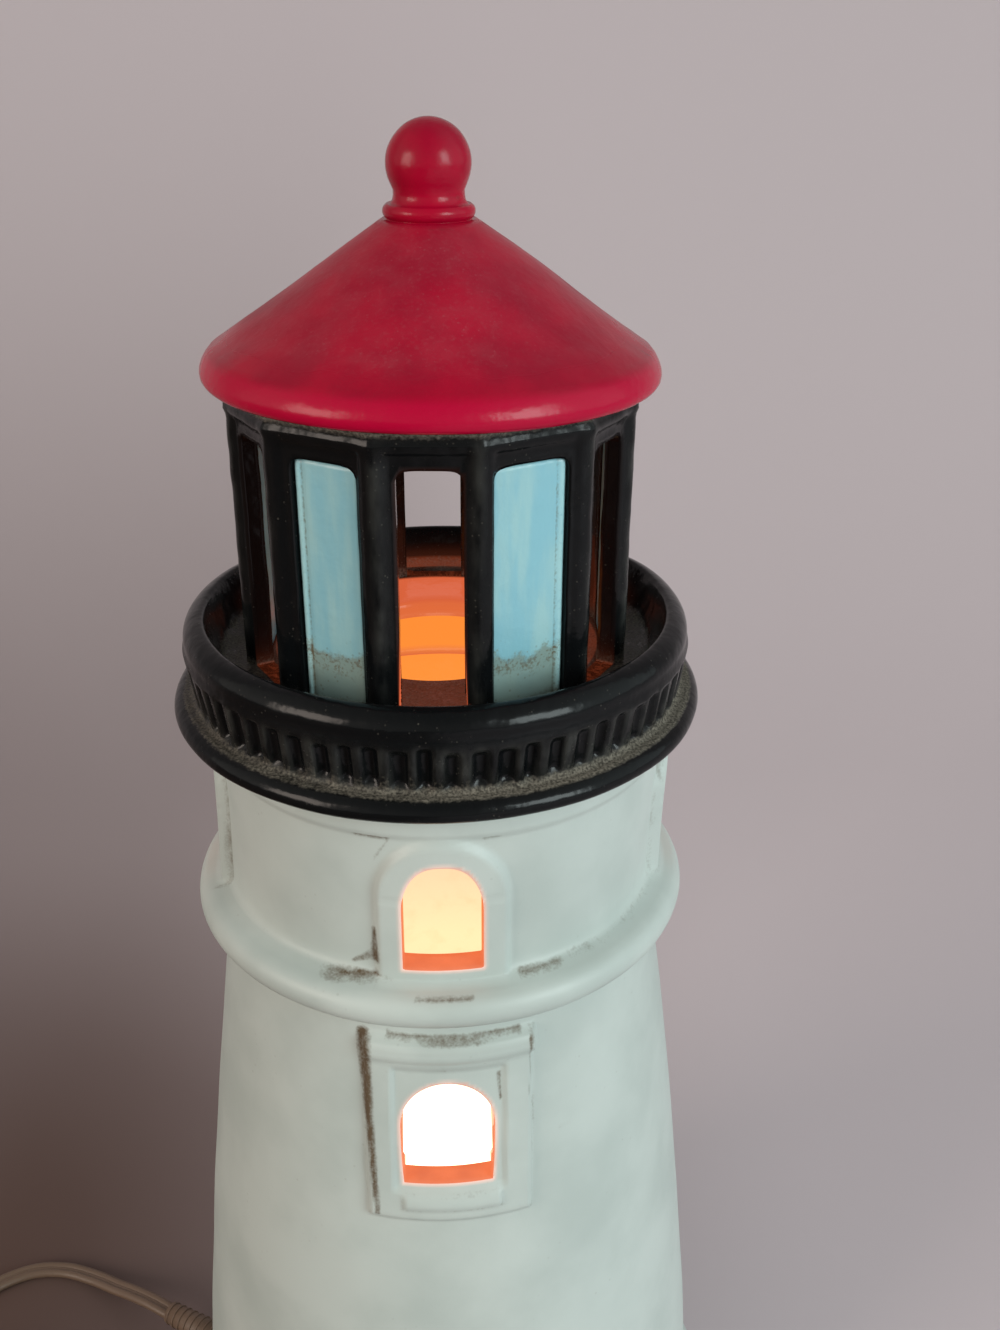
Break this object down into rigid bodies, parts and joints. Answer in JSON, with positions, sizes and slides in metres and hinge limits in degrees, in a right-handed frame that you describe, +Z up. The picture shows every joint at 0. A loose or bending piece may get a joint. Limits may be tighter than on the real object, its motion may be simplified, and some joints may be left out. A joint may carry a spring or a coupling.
{
  "type": "lighthouse accent lamp",
  "caption": "Glazed ceramic table lamp shaped as a lighthouse, lit from inside, with a lift-off lantern top, a screw-in bulb and a switched mains cord.",
  "frame": {"origin": "on the table under the middle of the felt base", "axes": "+Z up the tower, -Y out of the front windows, +X to the viewer's right"},
  "size_m": [0.342, 0.1969, 0.3788],
  "materials": {
    "white_glaze": "satin glaze",
    "black_glaze": "glossy glaze with dust",
    "red_glaze": "semi-gloss glaze with dust",
    "blue_glaze": "semi-gloss glaze",
    "felt": "felt",
    "plated_steel": "zinc plated",
    "brass": "plain brass",
    "fibre": "pressed fibre",
    "phenolic": "moulded",
    "copper": "bare strands",
    "bulb_aluminium": "plain",
    "frosted_glass": "frosted, lit",
    "black_glass": "fused glass",
    "clear_glass": "clear",
    "tungsten": "coiled wire",
    "cord_vinyl": "soft vinyl",
    "switch_plastic": "moulded",
    "tie_vinyl": "soft strap"
  },
  "bodies": {
    "base": {"felt_base": "felt", "tower": "white_glaze", "clamp_plate_lower": "plated_steel", "clamp_plate_upper": "plated_steel", "nipple": "brass", "lock_washer": "plated_steel", "hex_nut_lower": "brass", "hex_nut_upper": "brass", "socket_cap": "brass", "socket_shell": "brass", "socket_sleeve": "fibre", "socket_body": "phenolic", "screw_shell": "brass", "centre_contact": "brass", "terminal_screws": "plated_steel", "socket_leads": "copper", "inner_cord": "cord_vinyl", "strain_relief": "cord_vinyl", "cord_lead": "cord_vinyl", "switch_base": "switch_plastic", "switch_cover": "switch_plastic", "switch_screws": "plated_steel", "switch_contacts": "brass", "cord_link": "cord_vinyl", "cord_coil": "cord_vinyl", "cord_tie": "tie_vinyl", "cord_tail": "cord_vinyl", "plug_body": "cord_vinyl", "plug_blades": "brass"},
    "lantern_top": {"gallery": "black_glaze", "lantern_room": "black_glaze", "pane_front_left": "blue_glaze", "pane_front_right": "blue_glaze", "pane_left": "blue_glaze", "pane_right": "blue_glaze", "pane_back_left": "blue_glaze", "pane_back_right": "blue_glaze", "roof": "red_glaze"},
    "bulb": {"bulb_glass": "frosted_glass", "bulb_base": "bulb_aluminium", "bulb_insulator": "black_glass", "bulb_contact": "bulb_aluminium", "bulb_stem": "clear_glass", "bulb_filament": "tungsten"},
    "rocker": {"switch_rocker": "switch_plastic"}
  },
  "joints": [
    {"name": "lantern_lift", "type": "slide", "parent": "base", "child": "lantern_top", "axis": [0, 0, 1], "range_m": [0, 0.12]},
    {"name": "bulb_removal", "type": "slide", "parent": "base", "child": "bulb", "axis": [0, 0, 1], "range_m": [0, 0.032]},
    {"name": "switch_rock", "type": "hinge", "parent": "base", "child": "rocker", "pos_m": [-0.178, -0.016, 0.0145], "axis": [1, 0, 0], "range_deg": [-18, 0]}
  ]
}
